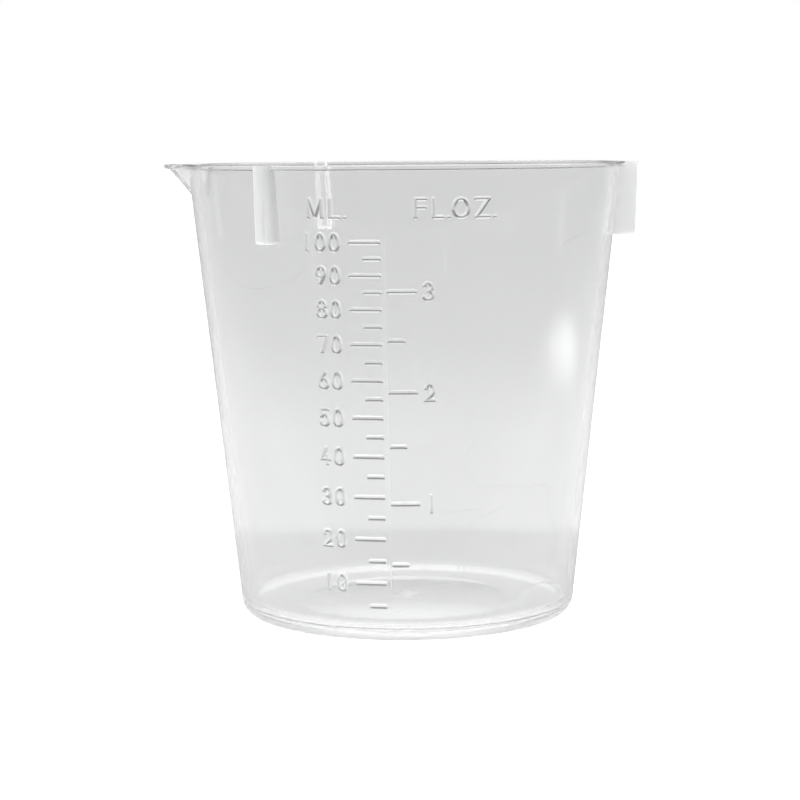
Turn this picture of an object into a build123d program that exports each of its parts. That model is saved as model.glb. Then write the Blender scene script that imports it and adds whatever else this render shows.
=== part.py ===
from build123d import *
from math import atan, pi, sin, tan
import os

# A clear cup for measuring and mixing resin, moulded in one piece.
# Its axis is Z and it stands on Z = 0. The pouring spout points along -X, and the
# measuring scales face -Y. All sizes are in millimetres.

# Bowl
cup_height = 62.8
rim_radius = 30.0
base_radius = 23.2
wall_thickness = 1.3
floor_thickness = 1.6
heel_radius = 2.0
inside_corner_radius = 1.5
rim_edge_radius = 0.2

# Flat band that the cup stands on, round a dished middle with the gate button of the moulding
foot_band_width = 6.2
dish_rise = 0.6
gate_button_radius = 1.65
gate_button_height = 0.55

# Flange round the rim
flange_width = 0.75
flange_thickness = 0.7
flange_edge_radius = 0.2

# Pouring spout, a V in plan that runs back into the wall
spout_reach = 3.8
spout_width = 10.4
spout_depth = 5.1
spout_wall = 1.2
spout_nose_radius = 0.35

# Stacking lugs, one opposite the spout and one on each side of it
lug_length = 10.1
lug_thickness = 1.7
lug_reach = 2.3
lug_draft = 0.3
lug_corner_radius = 0.6
lug_edge_radius = 0.25
lug_names = ["lug_opposite_spout", "lug_rear", "lug_front"]

# Raised scales on both sides of an upright datum rib
mark_relief = 0.3
mark_width = 0.58
mark_gap = 0.1
ml_long_mark = 4.15
ml_short_mark = 2.35
ounce_long_mark = 3.8
ounce_short_mark = 2.3
datum_relief = 0.12
datum_width = 0.5
datum_overhang = 1.0
unmarked_band = 8.0

# What the marks stand for, up to the unmarked band below the rim
centimetre = 10.0
millilitre = centimetre**3
fluid_ounce = 28.4131 * millilitre
ml_step = 5 * millilitre
ml_mark_count = 20
ounce_step = 0.5 * fluid_ounce
ounce_mark_count = 6

# Derived sizes
overrun = 5.0
flare = (rim_radius - base_radius) / cup_height
dish_radius = base_radius - heel_radius - foot_band_width
seam_height = floor_thickness + inside_corner_radius
flange_underside = cup_height - flange_thickness
spout_tip = rim_radius + spout_reach
spout_root = (rim_radius**2 - (spout_width / 2) ** 2) ** 0.5
spout_half_angle = atan(spout_width / 2 / (spout_tip - spout_root))
channel_tip = spout_tip - spout_wall / sin(spout_half_angle)
corner_centroid_share = 0.223


def outer_radius(z):
    """Radius of the wall's outside at height z."""
    return base_radius + flare * z


def bore_radius(z):
    """Radius of the wall's inside at height z."""
    return outer_radius(z) - wall_thickness


def volume_below(z):
    """What the cup holds up to height z: a cone frustum, less the dish and the rounded corner."""
    low = bore_radius(floor_thickness)
    high = bore_radius(z)
    frustum = pi * (z - floor_thickness) * (low**2 + low * high + high**2) / 3
    dish = pi * dish_rise * (3 * dish_radius**2 + dish_rise**2) / 6
    corner_area = (1 - pi / 4) * inside_corner_radius**2
    corner_path = 2 * pi * (low - corner_centroid_share * inside_corner_radius)
    return frustum - dish - corner_area * corner_path


def height_of(volume):
    """Height of the surface when the cup holds this volume, found by halving."""
    low = floor_thickness
    high = 2 * cup_height
    for _ in range(60):
        middle = (low + high) / 2
        if volume_below(middle) < volume:
            low = middle
        else:
            high = middle
    return low


def near(face, *point):
    """The corner of a flat face that lies nearest to a point."""
    return face.vertices().sort_by_distance(point)[0]


def turned(face):
    """The solid that a half section of radius and height sweeps round the cup's axis."""
    return revolve(Plane.XZ * face, Axis.Z)


def slab(bottom, top):
    """A round slab, wider than the cup, between two heights."""
    reach = spout_tip + flange_width + overrun
    low_end = (Align.CENTER, Align.CENTER, Align.MIN)
    return Pos(0, 0, bottom) * Cylinder(reach, top - bottom, align=low_end)


def dome(height, radius, rise):
    """The cap of a ball: its edge has this radius and lies at this height."""
    ball_radius = (radius**2 + rise**2) / (2 * rise)
    ball = Pos(0, 0, height + rise - ball_radius) * Sphere(ball_radius)
    return ball & slab(height, height + 2 * rise)


def bowl_outside():
    """All that the cup's outer surface encloses, from the dished underside to the rim."""
    section = Polyline((0, 0), (base_radius, 0), (rim_radius, cup_height), (0, cup_height), close=True)
    face = make_face(section)
    face = fillet(near(face, base_radius, 0), heel_radius)
    return turned(face) - dome(0, dish_radius, dish_rise)


def bowl_inside():
    """The space in the cup, run out past the rim, with rounded edges at the floor and the rim."""
    top = cup_height + overrun
    mouth_radius = rim_radius - wall_thickness / 2
    floor_edge = (bore_radius(floor_thickness), floor_thickness)
    rim_edge = (bore_radius(cup_height), cup_height)
    section = Polyline(
        (0, floor_thickness),
        floor_edge,
        rim_edge,
        (mouth_radius, cup_height),
        (mouth_radius, top),
        (0, top),
        close=True,
    )
    face = make_face(section)
    face = fillet(near(face, *floor_edge), inside_corner_radius)
    face = fillet(near(face, *rim_edge), min(rim_edge_radius, wall_thickness / 3))
    return turned(face) - dome(floor_thickness, dish_radius, dish_rise)


def gate_button():
    """The low round button in the middle of the floor, sunk to the floor's own level."""
    crown = floor_thickness + dish_rise + gate_button_height
    ball_radius = (gate_button_radius**2 + gate_button_height**2) / (2 * gate_button_height)
    ball = Pos(0, 0, crown - ball_radius) * Sphere(ball_radius)
    return ball & slab(floor_thickness, crown + overrun)


def spout_plan(tip):
    """The V of the spout in plan, from a rounded nose back to where its sides pass nearest the axis."""
    back = tip * sin(spout_half_angle) ** 2
    half = (tip - back) * tan(spout_half_angle)
    face = make_face(Polyline((-tip, 0), (-back, half), (-back, -half), close=True))
    return fillet(near(face, -tip, 0), spout_nose_radius)


def spout_form(tip, above):
    """The V swept down along the spout's ridge, from a height above the rim to inside the wall."""
    inward = (spout_tip - outer_radius(cup_height - spout_depth)) / spout_depth
    drop = above + 2 * spout_depth
    ridge = Vector(inward * drop, 0, -drop)
    start = Pos(-inward * above, 0, cup_height + above) * spout_plan(tip)
    return extrude(start, ridge.length, dir=ridge)


def lug(angle):
    """A radial fin, flush with the rim, with a drafted outer edge and rounded lower edges."""
    outer = rim_radius + lug_reach
    foot = cup_height - lug_length
    section = Polyline((0, foot), (outer - lug_draft, foot), (outer, cup_height), (0, cup_height), close=True)
    face = make_face(section)
    face = fillet(near(face, outer - lug_draft, foot), lug_corner_radius)
    fin = extrude(Plane.XZ * face, lug_thickness / 2, both=True)
    sides = fin.faces().sort_by(Axis.Y)
    edges = sides[0].edges() + sides[-1].edges()
    edges = [e for e in edges if e.center().Z < cup_height and e.center().X > 0]
    fin = fillet(edges, min(lug_edge_radius, lug_thickness / 3))
    return Rot(0, 0, angle) * fin


def flange():
    """A thin collar that follows the rim and the spout, with softened edges."""
    drawn_in = flange_thickness * (spout_tip - outer_radius(cup_height - spout_depth)) / spout_depth
    outline = Circle(outer_radius(flange_underside)) + Pos(drawn_in, 0) * spout_plan(spout_tip)
    outline = offset(outline, flange_width)
    collar = extrude(Pos(0, 0, flange_underside) * outline, flange_thickness)
    rims = collar.faces().filter_by(Axis.Z).edges()
    return fillet(rims, min(flange_edge_radius, flange_thickness / 3))


def raised(amount):
    """The skin of this thickness on the outside of the wall that a scale is cut from."""
    low = seam_height
    high = flange_underside
    section = Polyline(
        (outer_radius(low), low),
        (outer_radius(low) + amount, low),
        (outer_radius(high) + amount, high),
        (outer_radius(high), high),
        close=True,
    )
    return turned(make_face(section))


def scale_marks(side, step, count, long_mark, short_mark, long_every):
    """The bars of one scale, each at the height to which its volume fills the cup."""
    bars = []
    for number in range(1, count + 1):
        height = height_of(number * step)
        if height > cup_height - unmarked_band:
            break
        length = long_mark if number % long_every == 0 else short_mark
        middle = side * (datum_width / 2 + mark_gap + length / 2)
        bar = Pos(middle, height) * SlotOverall(length, mark_width)
        bars.append(extrude(Plane.XZ * bar, rim_radius + overrun))
    return raised(mark_relief) & (Part() + bars)


def datum_rib():
    """The low upright rib that both scales start from."""
    low = height_of(ml_step) - mark_width / 2
    high = min(height_of(ml_mark_count * ml_step), cup_height - unmarked_band) + datum_overhang
    front = (Align.CENTER, Align.MAX, Align.MIN)
    bar = Pos(0, 0, low) * Box(datum_width, rim_radius + overrun, high - low, align=front)
    return raised(datum_relief) & bar


outside = bowl_outside()
shell = outside - bowl_inside()
spout_outside = spout_form(spout_tip, 0)
channel = spout_form(channel_tip, overrun)
dish_column = Cylinder(dish_radius, cup_height)
lug_pitch = 360 / len(lug_names)
lugs = {name: lug(index * lug_pitch) for index, name in enumerate(lug_names)}

parts = {
    "base_floor": (shell & dish_column) + gate_button(),
    "foot_ring": (shell - dish_column) & slab(0, seam_height),
    "side_wall": (shell & slab(seam_height, cup_height)) - channel,
    "pour_spout": spout_outside - outside - channel,
    "rim_flange": flange() - outside - spout_outside - list(lugs.values()),
    "ml_scale_marks": scale_marks(-1, ml_step, ml_mark_count, ml_long_mark, ml_short_mark, 2),
    "ounce_scale_marks": scale_marks(1, ounce_step, ounce_mark_count, ounce_long_mark, ounce_short_mark, 2),
    "scale_datum_rib": datum_rib(),
}
for name, fin in lugs.items():
    parts[name] = fin - outside

os.makedirs("parts", exist_ok=True)
for name, shape in parts.items():
    export_step(shape, f"parts/{name}.step")

print("full to the brim", round(volume_below(cup_height) / millilitre, 1), "ml")
print("top mark at", round(height_of(ml_mark_count * ml_step), 2), "mm")
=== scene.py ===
from math import atan2, cos, pi, radians, sin

import bmesh
import bpy
import numpy as np
from mathutils import Matrix, Vector


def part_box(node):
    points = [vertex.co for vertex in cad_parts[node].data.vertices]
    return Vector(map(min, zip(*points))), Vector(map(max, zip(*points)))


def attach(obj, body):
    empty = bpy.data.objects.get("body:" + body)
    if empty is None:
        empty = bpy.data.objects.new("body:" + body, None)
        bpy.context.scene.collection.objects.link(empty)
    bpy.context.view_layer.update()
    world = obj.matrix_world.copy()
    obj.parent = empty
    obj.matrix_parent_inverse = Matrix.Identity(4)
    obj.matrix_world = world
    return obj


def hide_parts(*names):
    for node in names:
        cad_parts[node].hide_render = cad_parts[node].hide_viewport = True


# A clear moulded cup for measuring and mixing resin: one piece of plastic with a flanged
# rim, a V spout, three stacking lugs, and raised scales with their numerals on the front.
# Shapes are worked out in millimetres and put into the meshes in metres.
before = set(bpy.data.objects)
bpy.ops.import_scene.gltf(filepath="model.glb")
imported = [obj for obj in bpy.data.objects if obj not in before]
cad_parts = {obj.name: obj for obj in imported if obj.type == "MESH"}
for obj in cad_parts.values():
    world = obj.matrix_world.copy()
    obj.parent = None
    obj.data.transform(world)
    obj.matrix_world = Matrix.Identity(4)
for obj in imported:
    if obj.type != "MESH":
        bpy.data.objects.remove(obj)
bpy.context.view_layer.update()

MM = 0.001


def box_mm(node):
    """Lowest and highest corner of a node of the frame, in millimetres."""
    low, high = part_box(node)
    return np.array(low) / MM, np.array(high) / MM


# Sizes of the moulding, read from the frame
_, wall_high = box_mm("side_wall")
_, ring_high = box_mm("foot_ring")
_, floor_high = box_mm("base_floor")
flange_low, flange_high = box_mm("rim_flange")
spout_low, spout_high = box_mm("pour_spout")
lug_low, lug_high = box_mm("lug_opposite_spout")
cup_height = wall_high[2]
rim_radius = wall_high[1]
flare = (rim_radius - ring_high[1]) / (cup_height - ring_high[2])
base_radius = ring_high[1] - flare * ring_high[2]
dish_radius = floor_high[0]
gate_crown = floor_high[2]
seam_height = ring_high[2]

# Sizes that no box gives, the same as in the solids
wall_thickness = 1.3
floor_thickness = 1.6
heel_radius = 2.0
inside_corner_radius = 1.5
rim_edge_radius = 0.2
dish_rise = 0.6
gate_button_radius = 1.65
flange_edge_radius = 0.2
spout_wall = 1.2
spout_nose_radius = 0.35
spout_depth = 5.1
lug_draft = 0.3
lug_corner_radius = 0.6
lug_edge_radius = 0.25
lug_turns = (0, 120, 240)
lug_root = 1.0
flange_root = 0.4
datum_relief = 0.12
datum_top_share = 0.5
overrun = 5.0

# Raised marks and letters
mark_relief = 0.28
mark_spread = 0.07
mark_sink = 0.5
mark_clear_gap = 0.3
flank_ease = 0.6
numeral_stroke = 0.6
numeral_relief = 0.23
numeral_height = 2.7
numeral_width = 1.68
numeral_pitch = 1.9
numeral_gap = 1.05
ounce_numeral_gap = 0.62
letter_height = 2.9
label_height = 57.35
ml_label_start = -10.16
ounce_label_start = 3.9
letter_widths = {"M": 2.52, "L": 1.75, "F": 1.85, "O": 2.55, "Z": 2.35, ".": 0.42}
letter_gap = 0.45
gap_before_dot = 0.3
gap_after_dot = 0.1

# Steps of the curves
around_steps = 288
spout_and_rim_steps = 720
round_steps = 6
dome_steps = 14
dish_steps = 24
button_steps = 8
sweep_levels = 9
lug_foot_levels = 7
lug_upper_levels = 5
cap_steps = 9
ridge_steps = 8
datum_steps = 30
bar_steps = 8
tip_rounds = 20

# Small distances: a ring of points this far past a rounding keeps its shading true, the dish
# starts this far outside the gate button, the lugs' upper levels start at this height above their
# foot, and points closer than the weld are one point
guard = 0.15
button_clear = 0.05
lug_upper_from = 1.5
tip_guess = 0.1
weld = 1e-7
sharp_angle = 32


def outer_radius(z):
    """Radius of the wall's outside at height z: a straight cone."""
    return base_radius + flare * z


def bore_radius(z):
    """Radius of the wall's inside at height z."""
    return outer_radius(z) - wall_thickness


def mesh_object(name, points, faces):
    """A mesh of points in millimetres, with doubles merged and normals turned outwards."""
    mesh = bpy.data.meshes.new(name)
    mesh.from_pydata((np.asarray(points) * MM).tolist(), [], faces)
    solid = bmesh.new()
    solid.from_mesh(mesh)
    bmesh.ops.remove_doubles(solid, verts=solid.verts, dist=weld)
    bmesh.ops.dissolve_degenerate(solid, edges=solid.edges, dist=weld)
    bmesh.ops.recalc_face_normals(solid, faces=solid.faces)
    solid.to_mesh(mesh)
    solid.free()
    made = bpy.data.objects.new(name, mesh)
    bpy.context.scene.collection.objects.link(made)
    return made


def grid_faces(rows, columns, first=0, wrap_rows=False):
    """Quads of a grid of points, closed along its columns and, if asked, along its rows too."""
    last = rows if wrap_rows else rows - 1
    row, column = np.meshgrid(np.arange(last), np.arange(columns), indexing="ij")
    beside = (column + 1) % columns
    above = (row + 1) % rows
    here = row * columns
    over = above * columns
    corners = [here + column, here + beside, over + beside, over + column]
    return (np.stack(corners, -1).reshape(-1, 4) + first).tolist()


def stacked(loops, first=0, capped=True):
    """Points and faces of closed loops stacked one above another, with a flat face at each end."""
    rows, columns, _ = loops.shape
    faces = grid_faces(rows, columns, first)
    if capped:
        faces.append(list(range(first, first + columns)))
        faces.append(list(range(first + (rows - 1) * columns, first + rows * columns)))
    return loops.reshape(-1, 3), faces


def arc(centre_r, centre_z, radius, start, end, steps=round_steps):
    """Points of a circle's arc in the half plane of radius and height, angles in degrees."""
    turn = np.radians(np.linspace(start, end, steps + 1))
    return np.stack([centre_r + radius * np.cos(turn), centre_z + radius * np.sin(turn)], -1)


def lathe(name, profile):
    """A half profile of radius and height, turned round the axis in equal steps."""
    turn = 2 * pi * np.arange(around_steps) / around_steps
    radius, height = np.asarray(profile, float).T
    x = np.outer(radius, np.cos(turn))
    y = np.outer(radius, np.sin(turn))
    z = np.repeat(height[:, None], around_steps, 1)
    return mesh_object(name, *stacked(np.stack([x, y, z], -1), capped=False))


def dome_profile(level, radius, rise, steps=dome_steps):
    """The cap of a ball from its crown on the axis down to its edge."""
    ball = (radius**2 + rise**2) / (2 * rise)
    reach = np.linspace(0, radius, steps + 1)
    return np.stack([reach, level + rise - ball + np.sqrt(ball**2 - reach**2)], -1)


def corner_arc(radius, level, lean, inside):
    """Where a rounding of this radius touches a flat at this level and the cone: its arc.
    The cone passes through the named inside radius at that level and leans out by its flare."""
    centre_z = level + radius
    centre_r = inside + flare * radius - radius * (1 + flare**2) ** 0.5
    return arc(centre_r, centre_z, radius, -90, lean)


def bowl_outside():
    """The outside of the bowl: dished underside, flat foot band, rounded heel and straight cone."""
    lean = -np.degrees(np.arctan(flare))
    rings = (heel_radius + guard, seam_height, cup_height / 3, cup_height / 1.5, cup_height)
    return lathe("bowl_outside", np.concatenate([
        dome_profile(0, dish_radius, dish_rise),
        [(dish_radius + guard, 0.0)],
        corner_arc(heel_radius, 0, lean, base_radius),
        [(outer_radius(z), z) for z in rings],
        [(rim_radius * share, cup_height) for share in (0.9, 0.0)],
    ]))


def bowl_inside():
    """The space in the bowl: dished floor with its gate button, rounded corner, cone and rim edge."""
    lean = -np.degrees(np.arctan(flare))
    button_top = gate_crown - floor_thickness
    button = dome_profile(floor_thickness, gate_button_radius, button_top, button_steps)
    dish = dome_profile(floor_thickness, dish_radius, dish_rise, dish_steps)
    keep = np.interp(button[:, 0], dish[:, 0], dish[:, 1]) < button[:, 1]
    button = button[keep]
    dish = dish[dish[:, 0] > button[-1, 0] + button_clear]
    edge_foot = cup_height - rim_edge_radius
    edge = arc(bore_radius(edge_foot) + rim_edge_radius, edge_foot, rim_edge_radius, 180, 90)
    heights = (seam_height + guard, cup_height / 3, cup_height / 1.5, edge_foot - guard)
    return lathe("bowl_inside", np.concatenate([
        button,
        dish,
        [(dish_radius + guard, floor_thickness)],
        corner_arc(inside_corner_radius, floor_thickness, lean, bore_radius(floor_thickness)),
        [(bore_radius(z), z) for z in heights],
        edge,
        [(edge[-1][0], cup_height + overrun), (0, cup_height + overrun)],
    ]))


# The spout's V: half its angle in plan and its sharp tip, each found from the other in turn, and
# how far its ridge runs back for each unit of depth
spout_half_width = spout_high[1]
flange_width = flange_high[1] - outer_radius(flange_low[2])
spout_nose = -spout_low[0]
spout_back = (rim_radius**2 - spout_half_width**2) ** 0.5
spout_tip = spout_nose + tip_guess
for _ in range(tip_rounds):
    half_angle = atan2(spout_half_width, spout_tip - spout_back)
    spout_tip = spout_nose - spout_nose_radius + spout_nose_radius / sin(half_angle)
ridge_run = (spout_tip - outer_radius(cup_height - spout_depth)) / spout_depth
channel_nose = spout_nose - spout_wall / sin(half_angle)


def v_outline(turn, nose, grow):
    """Reach of the V at an angle from the spout: a circle's far side round its nose, then the
    straight side, whose distance is its offset over the sine of the angle between them."""
    centre = nose - spout_nose_radius
    radius = spout_nose_radius + grow
    across = centre * np.sin(turn)
    nose_arc = centre * np.cos(turn) + np.sqrt(np.maximum(radius**2 - across**2, 0))
    side = (centre * sin(half_angle) + radius) / np.sin(np.minimum(half_angle + turn, pi / 2))
    arc_end = atan2(radius * cos(half_angle), centre + radius * sin(half_angle))
    return np.where(turn < arc_end, nose_arc, side)


def v_plan(nose):
    """The V in plan, from where its sides pass nearest the axis round its nose, with the nose at -X."""
    centre = nose - spout_nose_radius
    turn = np.linspace(half_angle - pi / 2, pi / 2 - half_angle, 2 * round_steps + 1)
    arc_x = -centre - spout_nose_radius * np.cos(turn)
    arc_y = -spout_nose_radius * np.sin(turn)
    tip = nose - spout_nose_radius + spout_nose_radius / sin(half_angle)
    back = tip * sin(half_angle) ** 2
    half = (tip - back) * np.tan(half_angle)
    x = np.concatenate([[-back], arc_x, [-back]])
    y = np.concatenate([[half], arc_y, [-half]])
    return x, y


def v_form(name, nose, above):
    """The V swept down along its ridge: each level is the plan, moved towards the axis."""
    x, y = v_plan(nose)
    levels = np.linspace(-2 * spout_depth, above, sweep_levels)
    loops = []
    for level in levels:
        loops.append(np.stack([x - level * ridge_run, y, np.full_like(x, cup_height + level)], -1))
    return mesh_object(name, *stacked(np.stack(loops)))


def rim_flange():
    """The flange: a rounded band carried round the larger of two outlines, the rim's and the V's."""
    turn = np.linspace(-pi, pi, spout_and_rim_steps + 1)[:-1]
    low = flange_low[2]
    underside = outer_radius(low)
    nose = -flange_low[0] - flange_width
    half = flange_edge_radius
    ends = np.concatenate([
        arc(flange_width - half, low + half, half, -90, 0),
        arc(flange_width - half, cup_height - half, half, 0, 90),
        [(-flange_root, cup_height), (-flange_root, low)],
    ])
    loops = []
    for grow, height in ends:
        reach = np.maximum(underside + grow, v_outline(np.abs(turn), nose, grow))
        level = np.full_like(turn, height)
        loops.append(np.stack([-reach * np.cos(turn), -reach * np.sin(turn), level], -1))
    loops = np.stack(loops)
    rows, columns, _ = loops.shape
    faces = grid_faces(rows, columns, wrap_rows=True)
    return mesh_object("rim_flange_band", loops.reshape(-1, 3), faces)


def lugs():
    """Three radial fins: a rounded plan stacked upwards, drawn in at the foot for its rounded edges."""
    foot, reach, half = lug_low[2], lug_high[0], lug_high[1]
    turns = np.radians(np.linspace(0, 90, lug_foot_levels))
    foot_levels = lug_corner_radius * (1 - np.cos(turns))
    upper_levels = np.linspace(lug_upper_from, cup_height - foot, lug_upper_levels)
    levels = np.concatenate([foot_levels, upper_levels])
    inner = bore_radius(foot) - lug_root
    points, faces = [], []
    for angle in lug_turns:
        loops = []
        for level in levels:
            side_drop = max(lug_edge_radius - level, 0)
            corner_drop = max(lug_corner_radius - level, 0)
            side = half - lug_edge_radius + (lug_edge_radius**2 - side_drop**2) ** 0.5
            out = reach - lug_draft * (1 - level / (cup_height - foot))
            out += (lug_corner_radius**2 - corner_drop**2) ** 0.5 - lug_corner_radius
            edge = min(lug_edge_radius, side)
            low_edge = arc(out - edge, edge - side, edge, -90, 0)
            high_edge = arc(out - edge, side - edge, edge, 0, 90)
            plan = np.concatenate([[(inner, -side)], low_edge, high_edge, [(inner, side)]])
            loops.append(np.column_stack([plan, np.full(len(plan), foot + level)]))
        loops = np.stack(loops)
        spun = np.array(Matrix.Rotation(radians(angle), 3, "Z"))
        made = stacked(loops @ spun.T, sum(len(p) for p in points))
        points.append(made[0])
        faces += made[1]
    return mesh_object("lug_fins", np.concatenate(points), faces)


# Strokes: each is a path on the unrolled wall, as distance along the wall from the datum, and height
def on_wall(along, height, lift):
    """A place on the wall: so far round from the datum at -Y, at a height, lifted off the cone."""
    turn = along / outer_radius(height)
    radius = outer_radius(height) + lift
    return np.stack([radius * np.sin(turn), -radius * np.cos(turn), height], -1)


def dome_section(half, relief):
    """Half widths and lifts of a ridge: straight flanks that a cosine eases over into its crown."""
    share = np.linspace(0, 1, ridge_steps)
    eased = np.sin(share * pi / 2)
    widths = np.concatenate([[half], half * (1 - share)])
    lifts = np.concatenate([[-mark_sink], relief * (share + flank_ease * (eased - share))])
    return widths, lifts


def open_stroke(path, width, relief):
    """A rounded ridge along an open path with round ends: loops round the path, drawn in to its line."""
    path = np.asarray(path, float)
    step = np.gradient(path, axis=0) if len(path) > 1 else np.array([[1.0, 0.0]])
    step /= np.linalg.norm(step, axis=1)[:, None]
    normal = np.stack([-step[:, 1], step[:, 0]], -1)
    cap = np.radians(np.linspace(90, -90, cap_steps))[:, None]
    end_cap = normal[-1] * np.sin(cap) + step[-1] * np.cos(cap)
    start_cap = -normal[0] * np.sin(cap) - step[0] * np.cos(cap)
    last = np.repeat(path[-1:], cap_steps, 0)
    first = np.repeat(path[:1], cap_steps, 0)
    centre = np.concatenate([path[:-1], last, path[::-1][1:-1], first])
    around = np.concatenate([normal[:-1], end_cap, -normal[::-1][1:-1], start_cap])
    if len(path) == 1:
        centre = np.concatenate([last, first])
        around = np.concatenate([end_cap, start_cap])
    loops = []
    for half, lift in zip(*dome_section(width / 2, relief)):
        place = centre + around * half
        loops.append(on_wall(place[:, 0], place[:, 1], lift))
    return np.stack(loops), False


def closed_stroke(path, width, relief):
    """A rounded ridge round a closed path: its section carried along the path, shut below the wall."""
    step = np.roll(path, -1, 0) - np.roll(path, 1, 0)
    step /= np.linalg.norm(step, axis=1)[:, None]
    normal = np.stack([-step[:, 1], step[:, 0]], -1)
    widths, lifts = dome_section(width / 2, relief)
    offsets = np.concatenate([widths, -widths[:-1][::-1]])
    heights = np.concatenate([lifts, lifts[:-1][::-1]])
    loops = []
    for offset, lift in zip(offsets, heights):
        place = path + normal * offset
        loops.append(on_wall(place[:, 0], place[:, 1], lift))
    return np.stack(loops), True


def line(x0, y0, x1, y1, steps=6):
    """Points of a straight stroke."""
    share = np.linspace(0, 1, steps + 1)[:, None]
    return np.array([[x0, y0]]) * (1 - share) + np.array([[x1, y1]]) * share


def bend(x, y, a, b, start, end, steps=20):
    """Points of an oval's arc, angles in degrees."""
    turn = np.radians(np.linspace(start, end, steps + 1))
    return np.stack([x + a * np.cos(turn), y + b * np.sin(turn)], -1)


def oval(x, y, a, b):
    """Points of a whole oval."""
    return bend(x, y, a, b, 0, 360, 36)[:-1]


# Letters of one stroke width, in a cell from -0.5 to 0.5 wide and high: "s" is an open stroke and
# "o" a whole oval, and each goes to a layer of its own, so that strokes that cross are joined later
GLYPHS = {
    "0": [("o", oval(0, 0, 0.5, 0.5))],
    "1": [("s", line(0, -0.5, 0, 0.5))],
    "2": [("s", np.concatenate([bend(0, 0.18, 0.46, 0.32, 165, -25, 14),
                                line(0.3, -0.1, -0.5, -0.5, 5)])),
          ("s", line(-0.5, -0.5, 0.5, -0.5))],
    "3": [("s", bend(0, 0.25, 0.44, 0.25, 160, -80)), ("s", bend(0, -0.23, 0.5, 0.27, 80, -160))],
    "4": [("s", line(0.1, 0.5, -0.5, -0.18)), ("s", line(-0.5, -0.22, 0.5, -0.22)),
          ("s", line(0.22, 0.02, 0.22, -0.5))],
    "5": [("s", line(-0.38, 0.5, 0.42, 0.5)), ("s", line(-0.38, 0.46, -0.42, 0.08)),
          ("s", bend(-0.02, -0.16, 0.5, 0.34, 140, -150))],
    "6": [("o", oval(0, -0.2, 0.5, 0.3)), ("s", line(-0.42, -0.02, 0.12, 0.5))],
    "7": [("s", line(-0.5, 0.5, 0.5, 0.5)), ("s", line(0.46, 0.44, -0.12, -0.5))],
    "8": [("o", oval(0, 0.26, 0.42, 0.24)), ("o", oval(0, -0.22, 0.5, 0.28))],
    "9": [("o", oval(0, 0.2, 0.5, 0.3)), ("s", line(0.42, 0.02, -0.12, -0.5))],
    "M": [("s", line(-0.5, -0.5, -0.42, 0.5)), ("s", line(-0.42, 0.5, 0, -0.4)),
          ("s", line(0, -0.4, 0.42, 0.5)), ("s", line(0.42, 0.5, 0.5, -0.5))],
    "L": [("s", line(-0.5, 0.5, -0.5, -0.5)), ("s", line(-0.5, -0.5, 0.5, -0.5))],
    "F": [("s", line(-0.5, 0.5, -0.5, -0.5)), ("s", line(-0.5, 0.5, 0.5, 0.5)),
          ("s", line(-0.5, 0.04, 0.4, 0.04))],
    "O": [("o", oval(0, 0, 0.5, 0.5))],
    "Z": [("s", line(-0.5, 0.5, 0.5, 0.5)), ("s", line(0.5, 0.5, -0.5, -0.5)),
          ("s", line(-0.5, -0.5, 0.5, -0.5))],
    ".": [("s", np.array([[0.0, -0.5]]))],
}


def glyph(layers, letter, along, height, width, tall):
    """Adds a glyph's strokes, centred at a place on the wall, each to a layer of its own."""
    size = np.array([width - numeral_stroke, tall - numeral_stroke])
    for layer, (kind, shape) in enumerate(GLYPHS[letter]):
        path = shape * size + np.array([along, height])
        make = closed_stroke if kind == "o" else open_stroke
        layers[layer].append(make(path, numeral_stroke, numeral_relief))


def mark_rows(node):
    """Boxes of a scale node's bars, told apart by the gaps between their heights, in millimetres."""
    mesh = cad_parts[node].data
    points = np.empty(len(mesh.vertices) * 3)
    mesh.vertices.foreach_get("co", points)
    points = points.reshape(-1, 3) / MM
    points = points[np.argsort(points[:, 2])]
    breaks = np.nonzero(np.diff(points[:, 2]) > mark_clear_gap)[0] + 1
    return [(bar.min(0), bar.max(0)) for bar in np.split(points, breaks)]


def round_from_datum(x, z):
    """How far along the wall from the datum a place lies that is x to its side."""
    return outer_radius(z) * np.arcsin(x / outer_radius(z))


def scale_layers():
    """All the raised strokes, in layers whose strokes don't touch each other."""
    layers = [[], [], [], []]
    for node, numeral_every, numeral_step, text_gap in (
        ("ml_scale_marks", 2, 10, -numeral_gap),
        ("ounce_scale_marks", 2, 1, ounce_numeral_gap),
    ):
        for number, (low, high) in enumerate(mark_rows(node), 1):
            height = (low[2] + high[2]) / 2
            half = (high[2] - low[2]) / 2
            wide = half + mark_spread
            ends = [round_from_datum(x, height) for x in (low[0] + half, high[0] - half)]
            bar = line(ends[0], height, ends[1], height, bar_steps)
            layers[0].append(open_stroke(bar, 2 * wide, mark_relief))
            if number % numeral_every:
                continue
            text = str(number // numeral_every * numeral_step)
            if text_gap < 0:
                place = ends[0] - half + text_gap - numeral_width / 2
                for letter in text[::-1]:
                    glyph(layers, letter, place, height, numeral_width, numeral_height)
                    place -= numeral_pitch
            else:
                place = ends[1] + half + text_gap + numeral_width / 2
                glyph(layers, text, place, height, numeral_width, numeral_height)
    for start, text in ((ml_label_start, "ML."), (ounce_label_start, "FL.OZ.")):
        for letter, following in zip(text, text[1:] + " "):
            wide = letter_widths[letter]
            glyph(layers, letter, start + wide / 2, label_height, wide, letter_height)
            gap = gap_before_dot if following == "." else letter_gap
            start += wide + (gap_after_dot if letter == "." else gap)
    return layers


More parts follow.
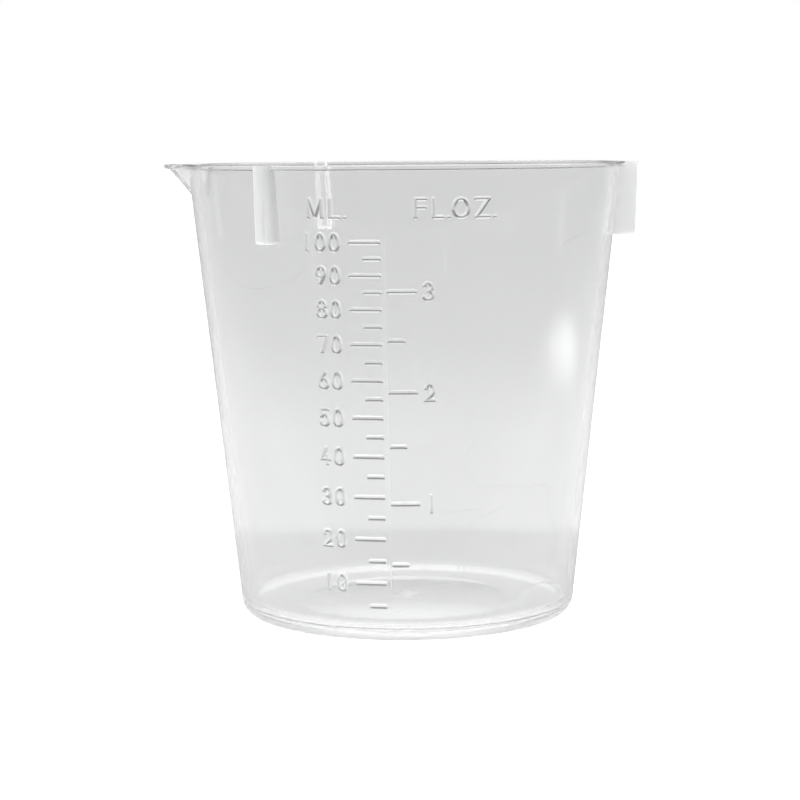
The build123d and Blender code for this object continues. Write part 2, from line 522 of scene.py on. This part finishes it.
def datum_rib():
    """The low upright rib: a strip with sloped sides and a flat top, on the wall between two heights."""
    low, high = box_mm("scale_datum_rib")
    half = high[0]
    top = half * datum_top_share
    buried = [(-half, -mark_sink), (half, -mark_sink)]
    section = buried + [(half, 0.0), (top, datum_relief), (-top, datum_relief), (-half, 0.0)]
    heights = np.linspace(low[2], high[2], datum_steps)
    loops = np.stack([np.stack([on_wall(x, z, lift) for x, lift in section]) for z in heights])
    return mesh_object("datum_strip", *stacked(loops))


def layer_object(name, strokes):
    """One mesh of all the strokes in a layer."""
    points, faces, first = [], [], 0
    for loops, closed in strokes:
        rows, columns, _ = loops.shape
        points.append(loops.reshape(-1, 3))
        faces += grid_faces(rows, columns, first, wrap_rows=closed)
        if not closed:
            faces.append(list(range(first, first + columns)))
        first += rows * columns
    return mesh_object(name, np.concatenate(points), faces)


def moulding():
    """The whole cup as one closed skin: the outer forms are joined, then bore and channel cut out."""
    cup = bowl_outside()
    cup.name = "cup_moulding"
    added = [rim_flange(), v_form("spout_outside", spout_nose, 0.0), lugs(), datum_rib()]
    added += [layer_object(f"strokes_{index}", layer) for index, layer in enumerate(scale_layers())]
    taken = [bowl_inside(), v_form("spout_channel", channel_nose, overrun)]
    for operation, shapes in (("UNION", added), ("DIFFERENCE", taken)):
        group = bpy.data.collections.new(operation.lower())
        bpy.context.scene.collection.children.link(group)
        for shape in shapes:
            bpy.context.scene.collection.objects.unlink(shape)
            group.objects.link(shape)
        step = cup.modifiers.new(operation, "BOOLEAN")
        step.operation = operation
        step.solver = "MANIFOLD"
        step.operand_type = "COLLECTION"
        step.collection = group
    bpy.context.view_layer.update()
    evaluated = cup.evaluated_get(bpy.context.evaluated_depsgraph_get())
    finished = bpy.data.meshes.new_from_object(evaluated)
    cup.modifiers.clear()
    cup.data = finished
    finished.name = "cup_moulding"
    for shape in added + taken:
        bpy.data.objects.remove(shape)
    finished.shade_smooth()
    finished.set_sharp_from_angle(angle=radians(sharp_angle))
    return cup


# Materials
plastic_ior = 1.49
plastic_transmission = 0.945
plastic_roughness = 0.05
marked_roughness = 0.25
satin_margin = 0.00003
lug_satin = 1.0
spout_satin_from = 0.001
spout_satin = 0.25
foot_scuffed_to = 0.0014
foot_satin = 0.3
gate_satin = 0.25
plastic_clear = (0.998, 0.999, 1.0, 1)
plastic_dense = (0.99, 0.993, 0.996, 1)
# Grey of the scales' crests: painted shade standing for the darkness the clear ridges show by refraction
crest_painted_shade = (0.75, 0.755, 0.76, 1)
crest_height = 0.00012
scale_front = -0.02
plastic_shadow = (0.96, 0.96, 0.96, 1)
fine_detail = 2
soft_detail = 1
streak_scale = 260.0
streak_stretch = 0.12
streak_depth = 0.000008
wave_scale = 60.0
wave_depth = 0.00002
speck_scale = 420.0
speck_size = 0.07
speck_rarity = 0.93
hairline_scale = 70.0
hairline_width = 0.0015
hairline_bend = 30.0
hairline_push = 0.02
hairline_patch = 45.0
hairline_cover = 0.56
mark_depth = 0.000006

# Studio: painted light and shade on the floor by metres from the axis, world tones by the sine of the
# height above the horizon, and edges as a smooth step's two ends and its level at each
floor_radius = 6.0
floor_sides = 96
floor_drop = 0.00005
floor_roughness = 0.9
floor_white = 0.85
floor_glow = 0.5
# Painted light and shade on the floor, seen only in the plastic: full light under the cup, a darker ring
# round it, dimmer far out
floor_painted_shading = ((0.0, 1.0), (0.022, 1.0), (0.026, 0.7), (0.064, 0.7), (0.067, 0.83), (0.19, 0.81),
               (0.27, 0.75), (0.42, 0.67), (0.65, 0.645), (1.0, 0.63))
# Painted light: a little brighter far out at both sides behind the cup
flank_lead = 0.05
flank_edges = (0.31, 0.38, 0.0, 0.09)
behind_edges = (0.0, flank_lead, 0.0, 1.0)
# A painted pool of light on the floor behind and to the right
pool_place = (0.047, 0.38, 0.0)
pool_squeeze = (6.0, 1.0, 1.0)
pool_edges = (0.0, 0.17, 0.45, 0.0)
world_tones = ((0.0, 0.62), (0.03, 0.35), (0.06, 0.15), (0.26, 0.15), (0.34, 0.95), (1.0, 1.0))
panel_edges = (0.45, 0.75, 0.75, 1.0)
side_edges = (0.4, 0.9, 1.0, 1.6)
least_flat = 0.0001
key_place = (0.0, 0.0, 1.2)
key_aim = (0.0, 0.0, 0.03)
key_size = (0.9, 0.9)
key_power = 6.0


def add(tree, kind, **settings):
    """A node with its settings."""
    made = tree.nodes.new(kind)
    for name, value in settings.items():
        setattr(made, name, value)
    return made


def join(tree, source, target):
    """A link from one socket to another."""
    tree.links.new(source, target)


def math(tree, operation, *values):
    """The result of a sum whose terms are sockets or numbers."""
    made = add(tree, "ShaderNodeMath", operation=operation)
    for socket, value in zip(made.inputs, values):
        if isinstance(value, (int, float)):
            socket.default_value = value
        else:
            join(tree, value, socket)
    return made.outputs[0]


def noise(tree, place, scale, detail, result="Fac"):
    """Soft noise of so many features to the metre."""
    made = add(tree, "ShaderNodeTexNoise")
    join(tree, place, made.inputs["Vector"])
    made.inputs["Scale"].default_value = scale
    made.inputs["Detail"].default_value = detail
    return made.outputs[result]


def ramp(tree, value, stops):
    """A grey level that follows these stops of value and level."""
    made = add(tree, "ShaderNodeValToRGB")
    join(tree, value, made.inputs["Fac"])
    elements = made.color_ramp.elements
    for place, _ in stops[1:-1]:
        elements.new(place)
    for element, (place, level) in zip(elements, stops):
        element.position = place
        element.color = (level, level, level, 1)
    return made.outputs["Color"]


def smooth_step(tree, value, edges):
    """A level that goes smoothly from the third number to the fourth, as the value goes from the
    first to the second."""
    made = add(tree, "ShaderNodeMapRange", interpolation_type="SMOOTHSTEP")
    join(tree, value, made.inputs["Value"])
    for name, number in zip(("From Min", "From Max", "To Min", "To Max"), edges):
        made.inputs[name].default_value = number
    return made.outputs[0]


def vector(tree, operation, place, other=None, result="Vector"):
    """The result of a vector sum of a place and, where the sum takes one, a fixed vector."""
    made = add(tree, "ShaderNodeVectorMath", operation=operation)
    join(tree, place, made.inputs[0])
    if other is not None:
        made.inputs[1].default_value = other
    return made.outputs[result]


def surface_marks(tree, place):
    """The wear of the plastic, 1 on a mark and 0 off it: a few specks, and bent hairlines in patches."""
    cells = add(tree, "ShaderNodeTexVoronoi")
    cells.inputs["Scale"].default_value = speck_scale
    join(tree, place, cells.inputs["Vector"])
    pick = add(tree, "ShaderNodeSeparateColor")
    join(tree, cells.outputs["Color"], pick.inputs[0])
    chosen = math(tree, "GREATER_THAN", pick.outputs[0], speck_rarity)
    near = math(tree, "LESS_THAN", cells.outputs["Distance"], speck_size)
    specks = math(tree, "MULTIPLY", chosen, near)

    bent = noise(tree, place, hairline_bend, fine_detail, "Color")
    pushed = add(tree, "ShaderNodeVectorMath", operation="MULTIPLY_ADD")
    join(tree, bent, pushed.inputs[0])
    pushed.inputs[1].default_value = (hairline_push, hairline_push, hairline_push)
    join(tree, place, pushed.inputs[2])
    web = add(tree, "ShaderNodeTexVoronoi", feature="DISTANCE_TO_EDGE")
    web.inputs["Scale"].default_value = hairline_scale
    join(tree, pushed.outputs[0], web.inputs["Vector"])
    thin = math(tree, "LESS_THAN", web.outputs["Distance"], hairline_width)
    patches = noise(tree, place, hairline_patch, soft_detail)
    patchy = math(tree, "GREATER_THAN", patches, hairline_cover)
    hairlines = math(tree, "MULTIPLY", thin, patchy)
    return math(tree, "MAXIMUM", specks, hairlines)


def moulded_places(tree, place):
    """How satin the plastic is, and 1 on the crests of the scales, where painted shade goes, told by
    where a place lies.
    A place stands proud by its distance from the axis less the cone's radius at its height."""
    parts = add(tree, "ShaderNodeSeparateXYZ")
    join(tree, place, parts.inputs[0])
    x, y, height = parts.outputs
    from_axis = vector(tree, "LENGTH", vector(tree, "MULTIPLY", place, (1, 1, 0)), result="Value")
    wall = math(tree, "MULTIPLY_ADD", height, flare, base_radius * MM)
    proud = math(tree, "SUBTRACT", from_axis, wall)
    bearing = math(tree, "ARCTAN2", y, x)
    to_lug = math(tree, "PINGPONG", bearing, pi / len(lug_turns))
    off_lug = math(tree, "MULTIPLY", to_lug, from_axis)
    on_lug = math(tree, "LESS_THAN", off_lug, lug_high[1] * MM + satin_margin)
    off_spout = math(tree, "SUBTRACT", pi, math(tree, "ABSOLUTE", bearing))
    on_spout = math(tree, "LESS_THAN", off_spout, spout_half_width / rim_radius)

    lug_sides = math(tree, "MULTIPLY", math(tree, "GREATER_THAN", proud, satin_margin), on_lug)
    off_wall = math(tree, "GREATER_THAN", proud, spout_satin_from)
    spout_sides = math(tree, "MULTIPLY", off_wall, on_spout)
    foot = math(tree, "LESS_THAN", height, foot_scuffed_to)
    gate = math(tree, "LESS_THAN", from_axis, gate_button_radius * MM)
    satin = math(tree, "MULTIPLY", lug_sides, lug_satin)
    for where, level in ((spout_sides, spout_satin), (foot, foot_satin), (gate, gate_satin)):
        satin = math(tree, "MAXIMUM", satin, math(tree, "MULTIPLY", where, level))

    raised = math(tree, "GREATER_THAN", proud, crest_height)
    in_front = math(tree, "LESS_THAN", y, scale_front)
    below_rim = math(tree, "LESS_THAN", height, (flange_low[2] - mark_sink) * MM)
    clear_of_lug = math(tree, "SUBTRACT", 1.0, on_lug)
    shaded_crests = math(tree, "MULTIPLY", raised, in_front)
    shaded_crests = math(tree, "MULTIPLY", shaded_crests, math(tree, "MULTIPLY", below_rim, clear_of_lug))
    return satin, shaded_crests


def uneven(tree, layers):
    """The surface's unevenness: bumps of these heights and depths, each laid over the one before."""
    normal = None
    for height, depth in layers:
        bump = add(tree, "ShaderNodeBump")
        bump.inputs["Distance"].default_value = depth
        join(tree, height, bump.inputs["Height"])
        if normal is not None:
            join(tree, normal, bump.inputs["Normal"])
        normal = bump.outputs[0]
    return normal


def clear_plastic():
    """Clear moulded plastic with a little haze, slow unevenness, fine hairlines and a few specks.
    Lugs and spout are satin, the foot band and the gate button scuffed, the scales' crests tinted grey
    as painted shade.
    Lamps shine through it."""
    material = bpy.data.materials.new("clear_plastic")
    material.use_nodes = True
    tree = material.node_tree
    shader = tree.nodes["Principled BSDF"]
    output = tree.nodes["Material Output"]
    shader.inputs["IOR"].default_value = plastic_ior
    shader.inputs["Transmission Weight"].default_value = plastic_transmission
    place = add(tree, "ShaderNodeTexCoord").outputs["Object"]

    drawn = add(tree, "ShaderNodeMapping")
    drawn.inputs["Scale"].default_value = (1, 1, streak_stretch)
    join(tree, place, drawn.inputs["Vector"])
    streaks = noise(tree, drawn.outputs[0], streak_scale, fine_detail)
    waves = noise(tree, place, wave_scale, soft_detail)
    marks = surface_marks(tree, place)
    satin, shaded_crests = moulded_places(tree, place)

    rough = add(tree, "ShaderNodeMapRange")
    join(tree, marks, rough.inputs["Value"])
    rough.inputs["To Min"].default_value = plastic_roughness
    rough.inputs["To Max"].default_value = marked_roughness
    join(tree, math(tree, "MAXIMUM", rough.outputs[0], satin), shader.inputs["Roughness"])
    tint = add(tree, "ShaderNodeMix", data_type="RGBA")
    join(tree, streaks, tint.inputs[0])
    tint.inputs["A"].default_value = plastic_clear
    tint.inputs["B"].default_value = plastic_dense
    # The crests turn grey: painted shade, not a colour of the plastic
    crest_shade_mix = add(tree, "ShaderNodeMix", data_type="RGBA")
    join(tree, shaded_crests, crest_shade_mix.inputs[0])
    join(tree, tint.outputs["Result"], crest_shade_mix.inputs["A"])
    crest_shade_mix.inputs["B"].default_value = crest_painted_shade
    join(tree, crest_shade_mix.outputs["Result"], shader.inputs["Base Color"])
    layers = ((waves, wave_depth), (streaks, streak_depth), (marks, mark_depth))
    join(tree, uneven(tree, layers), shader.inputs["Normal"])

    path = add(tree, "ShaderNodeLightPath")
    open_to_lamps = add(tree, "ShaderNodeBsdfTransparent")
    open_to_lamps.inputs["Color"].default_value = plastic_shadow
    mix = add(tree, "ShaderNodeMixShader")
    join(tree, path.outputs["Is Shadow Ray"], mix.inputs[0])
    join(tree, shader.outputs[0], mix.inputs[1])
    join(tree, open_to_lamps.outputs[0], mix.inputs[2])
    join(tree, mix.outputs[0], output.inputs["Surface"])
    return material


def studio_floor():
    """A wide pale floor: white to the camera but for shadow. Plastic shows it as a glow of painted light
    and shade graded with distance, with a painted pool of light behind and to the right, and painted
    light a little brighter far out at both sides behind the cup, where the sine of the bearing from a
    point in front of the axis is large."""
    bpy.ops.mesh.primitive_circle_add(
        vertices=floor_sides, radius=floor_radius, fill_type="NGON", location=(0, 0, -floor_drop)
    )
    floor = bpy.context.object
    floor.name = "studio_floor"
    material = bpy.data.materials.new("studio_floor")
    material.use_nodes = True
    tree = material.node_tree
    shader = tree.nodes["Principled BSDF"]
    output = tree.nodes["Material Output"]
    shader.inputs["Base Color"].default_value = (floor_white, floor_white, floor_white, 1)
    shader.inputs["Roughness"].default_value = floor_roughness
    shader.inputs["Specular IOR Level"].default_value = 0.0
    place = add(tree, "ShaderNodeTexCoord").outputs["Object"]
    # Painted light and shade graded with distance, plus the painted pool of light and painted brighter
    # sides
    painted_shading = ramp(tree, vector(tree, "LENGTH", place, result="Value"), floor_painted_shading)
    squeezed = vector(tree, "MULTIPLY", vector(tree, "SUBTRACT", place, pool_place), pool_squeeze)
    pool = smooth_step(tree, vector(tree, "LENGTH", squeezed, result="Value"), pool_edges)

    turned_sine, turned_cosine = sin(radians(view_turn)), cos(radians(view_turn))
    sideways = (turned_cosine, turned_sine, 0)
    backwards = (-turned_sine, turned_cosine, 0)
    lead_place = (flank_lead * turned_sine, -flank_lead * turned_cosine, 0)
    aside = vector(tree, "DOT_PRODUCT", place, sideways, "Value")
    from_lead = vector(tree, "DISTANCE", place, lead_place, "Value")
    sine = math(tree, "ABSOLUTE", math(tree, "DIVIDE", aside, from_lead))
    behind = vector(tree, "DOT_PRODUCT", place, backwards, "Value")
    flank = smooth_step(tree, sine, flank_edges)
    painted_side_light = math(tree, "MULTIPLY", flank, smooth_step(tree, behind, behind_edges))
    painted_light = math(tree, "ADD", math(tree, "ADD", painted_shading, pool), painted_side_light)
    # The floor glows with this painted light and shade for rays through or off the plastic
    painted_light_glow = add(tree, "ShaderNodeEmission")
    join(tree, painted_light, painted_light_glow.inputs["Strength"])
    white = add(tree, "ShaderNodeEmission")
    white.inputs["Strength"].default_value = floor_glow
    both = add(tree, "ShaderNodeAddShader")
    join(tree, shader.outputs[0], both.inputs[0])
    join(tree, white.outputs[0], both.inputs[1])
    path = add(tree, "ShaderNodeLightPath")
    for_camera = add(tree, "ShaderNodeMixShader")
    join(tree, path.outputs["Is Camera Ray"], for_camera.inputs[0])
    join(tree, shader.outputs[0], for_camera.inputs[1])
    join(tree, both.outputs[0], for_camera.inputs[2])
    either = math(tree, "MAXIMUM", path.outputs["Is Transmission Ray"], path.outputs["Is Glossy Ray"])
    through = add(tree, "ShaderNodeMixShader")
    join(tree, either, through.inputs[0])
    join(tree, for_camera.outputs[0], through.inputs[1])
    join(tree, painted_light_glow.outputs[0], through.inputs[2])
    join(tree, through.outputs[0], output.inputs["Surface"])
    floor.data.materials.append(material)


def studio_world():
    """The room's light: white to the camera; to all else four soft panels round the cup, duller
    between them and above the horizon, brighter at both sides, under a bright ceiling. Panels
    follow the cosine of twice the bearing, and the sides its lateral share of the level length."""
    world = bpy.data.worlds.new("studio")
    bpy.context.scene.world = world
    world.use_nodes = True
    tree = world.node_tree
    background = tree.nodes["Background"]
    place = add(tree, "ShaderNodeTexCoord").outputs["Generated"]
    turn = add(tree, "ShaderNodeMapping")
    turn.inputs["Rotation"].default_value = (0, 0, -radians(view_turn))
    join(tree, place, turn.inputs["Vector"])
    parts = add(tree, "ShaderNodeSeparateXYZ")
    join(tree, turn.outputs[0], parts.inputs[0])
    xx = math(tree, "MULTIPLY", parts.outputs["X"], parts.outputs["X"])
    yy = math(tree, "MULTIPLY", parts.outputs["Y"], parts.outputs["Y"])
    flat = math(tree, "MAXIMUM", math(tree, "ADD", xx, yy), least_flat)
    lobes = math(tree, "ABSOLUTE", math(tree, "DIVIDE", math(tree, "SUBTRACT", xx, yy), flat))
    panel = smooth_step(tree, lobes, panel_edges)
    lateral = math(tree, "ABSOLUTE", parts.outputs["X"])
    side = smooth_step(tree, math(tree, "DIVIDE", lateral, math(tree, "SQRT", flat)), side_edges)
    height = math(tree, "MULTIPLY", ramp(tree, parts.outputs["Z"], world_tones), side)
    level = add(tree, "ShaderNodeMix", data_type="FLOAT")
    join(tree, add(tree, "ShaderNodeLightPath").outputs["Is Camera Ray"], level.inputs[0])
    join(tree, math(tree, "MULTIPLY", panel, height), level.inputs[2])
    level.inputs[3].default_value = 1.0
    join(tree, level.outputs[0], background.inputs["Strength"])
    background.inputs["Color"].default_value = (1, 1, 1, 1)


def soft_light(name, place, aim, size, power):
    """A soft box of this width and height in metres, aimed at a point."""
    lamp = bpy.data.lights.new(name, "AREA")
    lamp.shape = "RECTANGLE"
    lamp.size, lamp.size_y = size
    lamp.energy = power
    made = bpy.data.objects.new(name, lamp)
    bpy.context.scene.collection.objects.link(made)
    made.location = place
    made.rotation_euler = (Vector(aim) - Vector(place)).to_track_quat("-Z", "Y").to_euler()


# Camera: the photograph's eye, by distance and height in millimetres and turn round the cup in
# degrees, with its lens told by the focal length in pixels
view_turn = 5.5
eye_distance = 311.3
eye_height = 65.6
eye_pitch = 6.598
eye_yaw = -0.157
eye_roll = -0.454
focal_pixels = 2226.7
image_pixels = 800
sensor = 36.0
clip_near = 0.01
clip_far = 50


def photo_camera():
    """The camera of the photograph: it looks level along +Y, then pitches, swings and rolls a little."""
    camera = bpy.data.objects.new("camera", bpy.data.cameras.new("camera"))
    bpy.context.scene.collection.objects.link(camera)
    camera.data.sensor_width = sensor
    camera.data.lens = focal_pixels * sensor / image_pixels
    pitch, yaw, roll = radians(eye_pitch), radians(eye_yaw), radians(eye_roll)
    ahead = Vector((sin(yaw) * cos(pitch), cos(yaw) * cos(pitch), -sin(pitch)))
    right = Vector((cos(yaw), -sin(yaw), 0))
    up = right.cross(ahead)
    rolled = cos(roll) * right + sin(roll) * up
    upright = cos(roll) * up - sin(roll) * right
    axes = Matrix((rolled, upright, -ahead)).transposed().to_4x4()
    place = Matrix.Translation((0, -eye_distance * MM, eye_height * MM))
    camera.matrix_world = Matrix.Rotation(radians(view_turn), 4, "Z") @ place @ axes
    camera.data.clip_start = clip_near
    camera.data.clip_end = clip_far
    bpy.context.scene.camera = camera


cup = moulding()
cup.data.materials.clear()
cup.data.materials.append(clear_plastic())
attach(cup, "root")
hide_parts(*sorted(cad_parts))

studio_floor()
studio_world()
soft_light("key_box", key_place, key_aim, key_size, key_power)
photo_camera()

scene = bpy.context.scene
scene.view_settings.view_transform = "Standard"
scene.cycles.max_bounces = 64
scene.cycles.transmission_bounces = 32
scene.cycles.glossy_bounces = 48
scene.cycles.use_denoising = True
